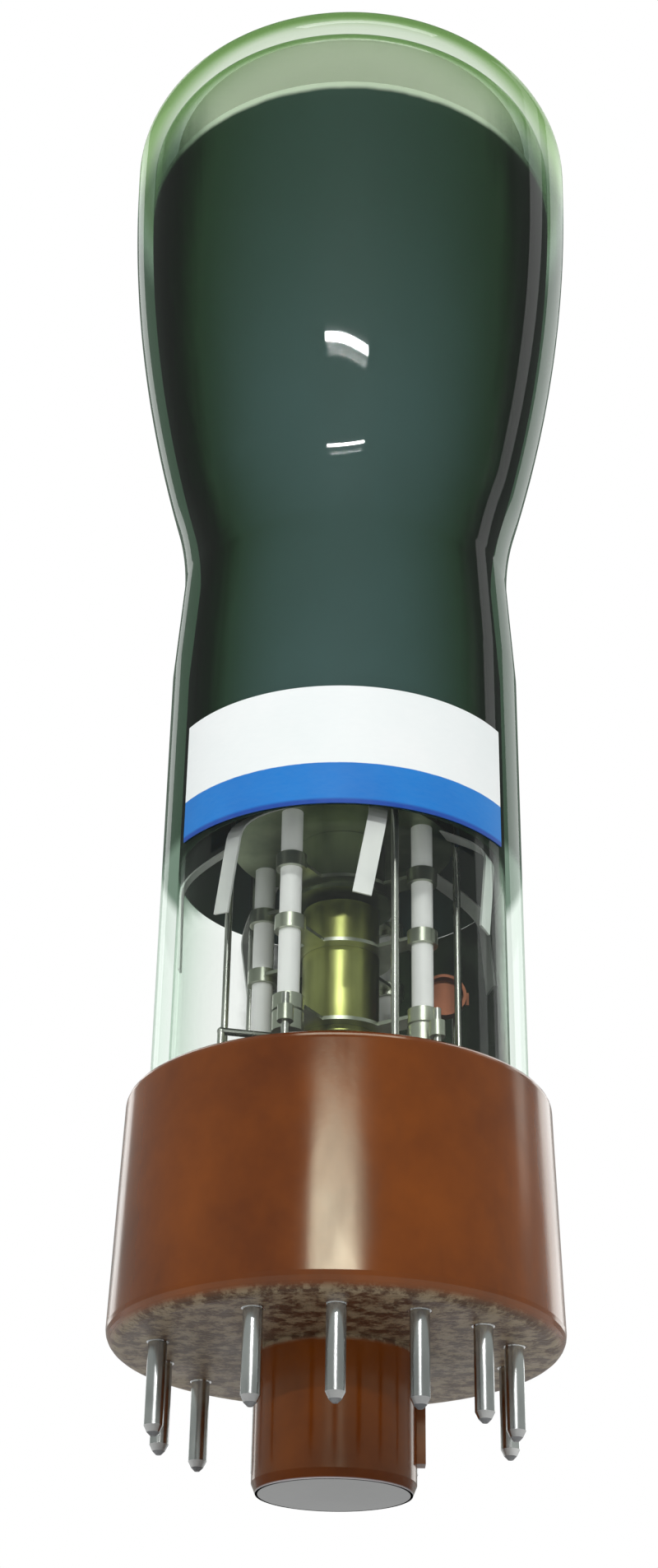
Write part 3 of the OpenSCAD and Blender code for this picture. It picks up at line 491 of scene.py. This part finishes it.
def wall_r(z, r1, z1, r2, z2, blend):
    """The wall from the seam to the widest ring: a hollow blend and a full belly, both tangent."""
    turn = 2 * math.atan((r2 - r1) / (z2 - z1))
    belly = (z2 - z1) / math.sin(turn) - blend
    if z <= z1:
        return r1
    if z <= z1 + blend * math.sin(turn):
        return r1 + blend - math.sqrt(blend ** 2 - (z - z1) ** 2)
    return r2 - belly + math.sqrt(belly ** 2 - (z2 - z) ** 2)


def outer_r(z):
    return wall_r(z, SEAM_R, SEAM_Z, BULB_R, BULB_Z, FLARE_R)


def inner_r(z):
    if z <= SEAM_Z - SEAM_TAPER:
        return NECK_IN_R
    if z <= SEAM_Z:
        return NECK_IN_R + (SEAM_IN_R - NECK_IN_R) * (z - SEAM_Z + SEAM_TAPER) / SEAM_TAPER
    return wall_r(z, SEAM_IN_R, SEAM_Z, BULB_IN_R, INNER_EDGE_Z, FLARE_R + NECK_WALL)


def envelope():
    """The bulb and the neck as one blown glass."""
    edge_end = math.degrees(math.atan2(BULB_Z - DOME_Z, BULB_R - EDGE_R))
    inner_end = math.degrees(math.atan2(INNER_EDGE_Z - DOME_Z, BULB_IN_R - INNER_EDGE_R))
    outside = [(NECK_R, NECK_FOOT), (NECK_R, SEAM_Z - SEAM_TAPER)]
    outside += [(outer_r(z), z) for z in spread(SEAM_Z, BULB_Z, 90)]
    outside += arc(BULB_R - EDGE_R, BULB_Z, EDGE_R, 0, edge_end, 24)[1:]
    outside += arc(0, DOME_Z, DOME_R, edge_end, 90, 16)[1:-1] + [(0, DOME_Z + DOME_R)]
    inside = [(NECK_IN_R, NECK_FOOT), (NECK_IN_R, SEAM_Z - SEAM_TAPER)]
    inside += [(inner_r(z), z) for z in spread(SEAM_Z, INNER_EDGE_Z, 90)]
    inside += arc(BULB_IN_R - INNER_EDGE_R, INNER_EDGE_Z, INNER_EDGE_R, 0, inner_end, 20)[1:]
    inside += arc(0, DOME_Z, INNER_DOME_R, inner_end, 90, 16)[1:-1] + [(0, DOME_Z + INNER_DOME_R)]
    return lathe(
        "glass_envelope", outside + inside[::-1], ROUND_GLASS, "glass",
        ["glass_bulb", "glass_neck"])


def coating():
    """The graphite coat inside the glass."""
    levels = [COAT_FOOT, SEAM_Z - SEAM_TAPER] + spread(SEAM_Z, COAT_HEAD, 80)
    outside = [(inner_r(z) - FILM_GAP, z) for z in levels]
    inside = [(inner_r(z) - FILM_GAP - COAT_T, z) for z in levels]
    return lathe(
        "graphite_coat", outside + inside[::-1], ROUND_GLASS, "graphite", ["graphite_coating"])


def screen():
    """The phosphor inside the face."""
    outer = INNER_DOME_R - FILM_GAP
    inner = outer - SCREEN_T
    reach = math.degrees(math.acos(SCREEN_R / outer))
    outside, inside = (
        arc(0, DOME_Z, radius, reach, 90, 20)[:-1] + [(0, DOME_Z + radius)]
        for radius in (outer, inner))
    return lathe(
        "phosphor_layer", outside + inside[::-1], ROUND_SCREEN, "phosphor", ["phosphor_screen"])


envelope()
coating()
screen()


def pale_floor():
    """A pale floor that runs out into the white and hides nothing from an eye below it.

    It is open where the spigot stands.
    """
    finish = Finish("pale_floor")
    place = finish.place()
    under = finish.node("ShaderNodeNewGeometry", output="Backfacing")
    reach = finish.node("ShaderNodeVectorMath", {"operation": "LENGTH"}, {0: place}, "Value")
    away = finish.between(reach, *FLOOR_FADE)
    grain = finish.noise(place, 8, 3.0)
    top = finish.shader(
        "ShaderNodeBsdfPrincipled",
        Base_Color=finish.blend(grain, (0.80, 0.80, 0.80), (0.86, 0.86, 0.86)), Roughness=1.0,
        Specular_IOR_Level=0.0)
    clear = finish.shader("ShaderNodeBsdfTransparent", Color=(1.0, 1.0, 1.0))
    rings = bmesh.new()
    turns = [2 * math.pi * i / ROUND_FLOOR for i in range(ROUND_FLOOR)]
    loops = [
        [rings.verts.new((r * math.cos(turn), r * math.sin(turn), FLOOR_Z * MM)) for turn in turns]
        for r in (FLOOR_HOLE_R * MM, *FLOOR_RINGS)]
    for inner, outer in zip(loops, loops[1:]):
        for i in range(ROUND_FLOOR):
            j = (i + 1) % ROUND_FLOOR
            rings.faces.new((inner[i], outer[i], outer[j], inner[j]))
    data = bpy.data.meshes.new("floor")
    rings.to_mesh(data)
    rings.free()
    data.materials.append(finish.close(finish.mixed(1 - (1 - under) * (1 - away), top, clear)))
    floor = bpy.data.objects.new("floor", data)
    scene.collection.objects.link(floor)


def surroundings():
    """White behind the tube, and a dimmer pale room for what lights it and what it mirrors."""
    scene.world = bpy.data.worlds.new("studio")
    scene.world.use_nodes = True
    room = Nodes(scene.world.node_tree)
    seen = room.node("ShaderNodeLightPath", output="Is Camera Ray")
    passed = room.node("ShaderNodeLightPath", output="Is Transmission Ray")
    mirrored = room.node("ShaderNodeLightPath", output="Is Glossy Ray")
    white = room.node("ShaderNodeBackground", inputs={"Color": (1, 1, 1), "Strength": 1.0})
    soft = room.node("ShaderNodeBackground", inputs={"Color": (1, 1, 1), "Strength": 0.36})
    dim = room.node("ShaderNodeBackground", inputs={"Color": (0.94, 1.0, 0.96), "Strength": 0.4})
    lit = room.node("ShaderNodeMixShader", inputs={0: mirrored, 1: soft, 2: dim})
    behind = room.node("ShaderNodeMath", {"operation": "MAXIMUM"}, {0: seen, 1: passed})
    room.surface(
        room.node("ShaderNodeMixShader", inputs={0: behind, 1: lit, 2: white}),
        "ShaderNodeOutputWorld")


def softbox(name, azimuth, elevation, distance, width, height, watts, mirrored=False, roll=0.0):
    """A rectangular lamp at angles from the front and the level, in degrees and metres."""
    a = math.radians(azimuth)
    e = math.radians(elevation)
    place = Vector((math.sin(a) * math.cos(e), -math.cos(a) * math.cos(e), math.sin(e))) * distance
    place += LAMP_AIM
    data = bpy.data.lights.new(name, "AREA")
    data.shape = "RECTANGLE"
    data.size = width
    data.size_y = height
    data.energy = watts
    lamp = bpy.data.objects.new(name, data)
    lamp.location = place
    turn = (LAMP_AIM - place).to_track_quat("-Z", "Y").to_matrix()
    lamp.rotation_euler = (turn @ Matrix.Rotation(math.radians(roll), 3, "Z")).to_euler()
    lamp.visible_glossy = mirrored
    scene.collection.objects.link(lamp)


pale_floor()
surroundings()
softbox("front_panel", -1, 17, 1.3, 0.50, 0.022, 4.2, mirrored=True, roll=-4)
softbox("front_soft", -18, -2, 1.1, 0.5, 0.5, 1.9)
softbox("left_soft", -70, 35, 1.5, 1.0, 1.0, 4.5)
softbox("right_soft", 75, 40, 1.5, 0.9, 0.9, 4.0)
softbox("back_soft", 170, 50, 1.6, 1.2, 1.2, 2.0)
softbox("top_strip", 10, 68, 1.3, 0.9, 0.2, 3.0, mirrored=True)
softbox("left_rim", -150, 34, 1.5, 0.30, 1.5, 2.6, mirrored=True)
softbox("right_rim", 145, 34, 1.5, 0.60, 1.5, 5.0, mirrored=True)
softbox("right_strip", 112, 40, 1.5, 0.26, 1.2, 1.2, mirrored=True)


def photo_camera():
    """The photograph's view: close below the base, looking up along the tube."""
    data = bpy.data.cameras.new("photo_camera")
    data.sensor_width = 36.0
    data.sensor_fit = "AUTO"
    data.lens = 51.0
    data.clip_start = 0.01
    data.clip_end = 100
    camera = bpy.data.objects.new("photo_camera", data)
    place = Vector((0.0, -0.27365, -0.0728))
    aim = Vector((-0.002, 0.0, 0.08092))
    forward = (aim - place).normalized()
    side = forward.cross(Vector((0, 0, 1))).normalized()
    up = side.cross(forward).normalized()
    roll = math.radians(0.95)
    side, up = (
        side * math.cos(roll) + up * math.sin(roll), up * math.cos(roll) - side * math.sin(roll))
    camera.matrix_world = Matrix((
        (side.x, up.x, -forward.x, place.x),
        (side.y, up.y, -forward.y, place.y),
        (side.z, up.z, -forward.z, place.z),
        (0, 0, 0, 1)))
    scene.collection.objects.link(camera)
    scene.camera = camera


photo_camera()
